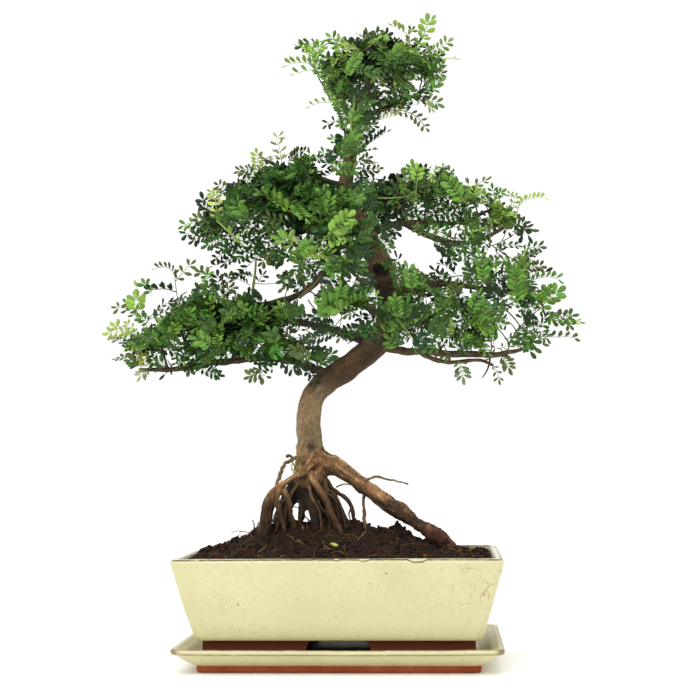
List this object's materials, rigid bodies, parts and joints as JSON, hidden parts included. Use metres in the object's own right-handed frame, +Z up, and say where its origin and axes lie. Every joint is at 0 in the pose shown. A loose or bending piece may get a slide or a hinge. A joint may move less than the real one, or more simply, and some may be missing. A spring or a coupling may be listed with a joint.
{
  "type": "sichuan pepper bonsai",
  "caption": "Small-leaved pepper tree bonsai on raised exposed roots, with an S-curved leaning trunk and tiered foliage, in a flared rectangular glazed pot standing on a matching saucer.",
  "frame": {"origin": "middle of the saucer's flat underside, where the whole thing stands on a surface", "axes": "+Z up; the pot's long front side faces -Y, and the tall raised root runs down towards +X"},
  "size_m": [0.5057, 0.2714, 0.6851],
  "materials": {
    "cream_glaze": "gloss",
    "terracotta": "matte",
    "bark": "matte",
    "twig_bark": "matte",
    "leaf": "satin",
    "yellow_leaf": "satin",
    "soil": "matte",
    "gravel": "matte",
    "mesh_plastic": "matte",
    "wire": "satin"
  },
  "bodies": {
    "root": {"saucer": "cream_glaze", "pot": "cream_glaze", "drain_mesh_left": "mesh_plastic", "drain_mesh_right": "mesh_plastic", "mesh_wire_left": "wire", "mesh_wire_right": "wire", "trunk_with_roots": "bark", "drainage_gravel": "gravel", "soil": "soil", "fallen_leaflet": "yellow_leaf", "branch_low_left": "twig_bark", "branch_low_right": "twig_bark", "branch_mid_right": "twig_bark", "branch_mid_left": "twig_bark", "branch_upper_right": "twig_bark", "branch_upper_left": "twig_bark", "branch_upper_left_top": "twig_bark", "branch_front": "twig_bark", "branch_back_left": "twig_bark", "branch_back_low": "twig_bark", "branch_back_upper": "twig_bark", "branch_crown_left": "twig_bark", "branch_crown_right": "twig_bark", "branch_crown_back": "twig_bark", "foliage_crown_top": "leaf", "foliage_crown_left": "leaf", "foliage_crown_right": "leaf", "foliage_crown_back": "leaf", "foliage_stem_tufts": "leaf", "foliage_upper_left_outer": "leaf", "foliage_upper_left_inner": "leaf", "foliage_upper_left_back": "leaf", "foliage_upper_right_inner": "leaf", "foliage_upper_right_outer": "leaf", "foliage_upper_back": "leaf", "foliage_right_inner": "leaf", "foliage_right_outer": "leaf", "foliage_right_back": "leaf", "foliage_lower_left_outer": "leaf", "foliage_lower_left_inner": "leaf", "foliage_lower_left_root": "leaf", "foliage_lower_left_back": "leaf", "foliage_centre_front": "leaf", "foliage_centre_back": "leaf"}
  },
  "joints": []
}
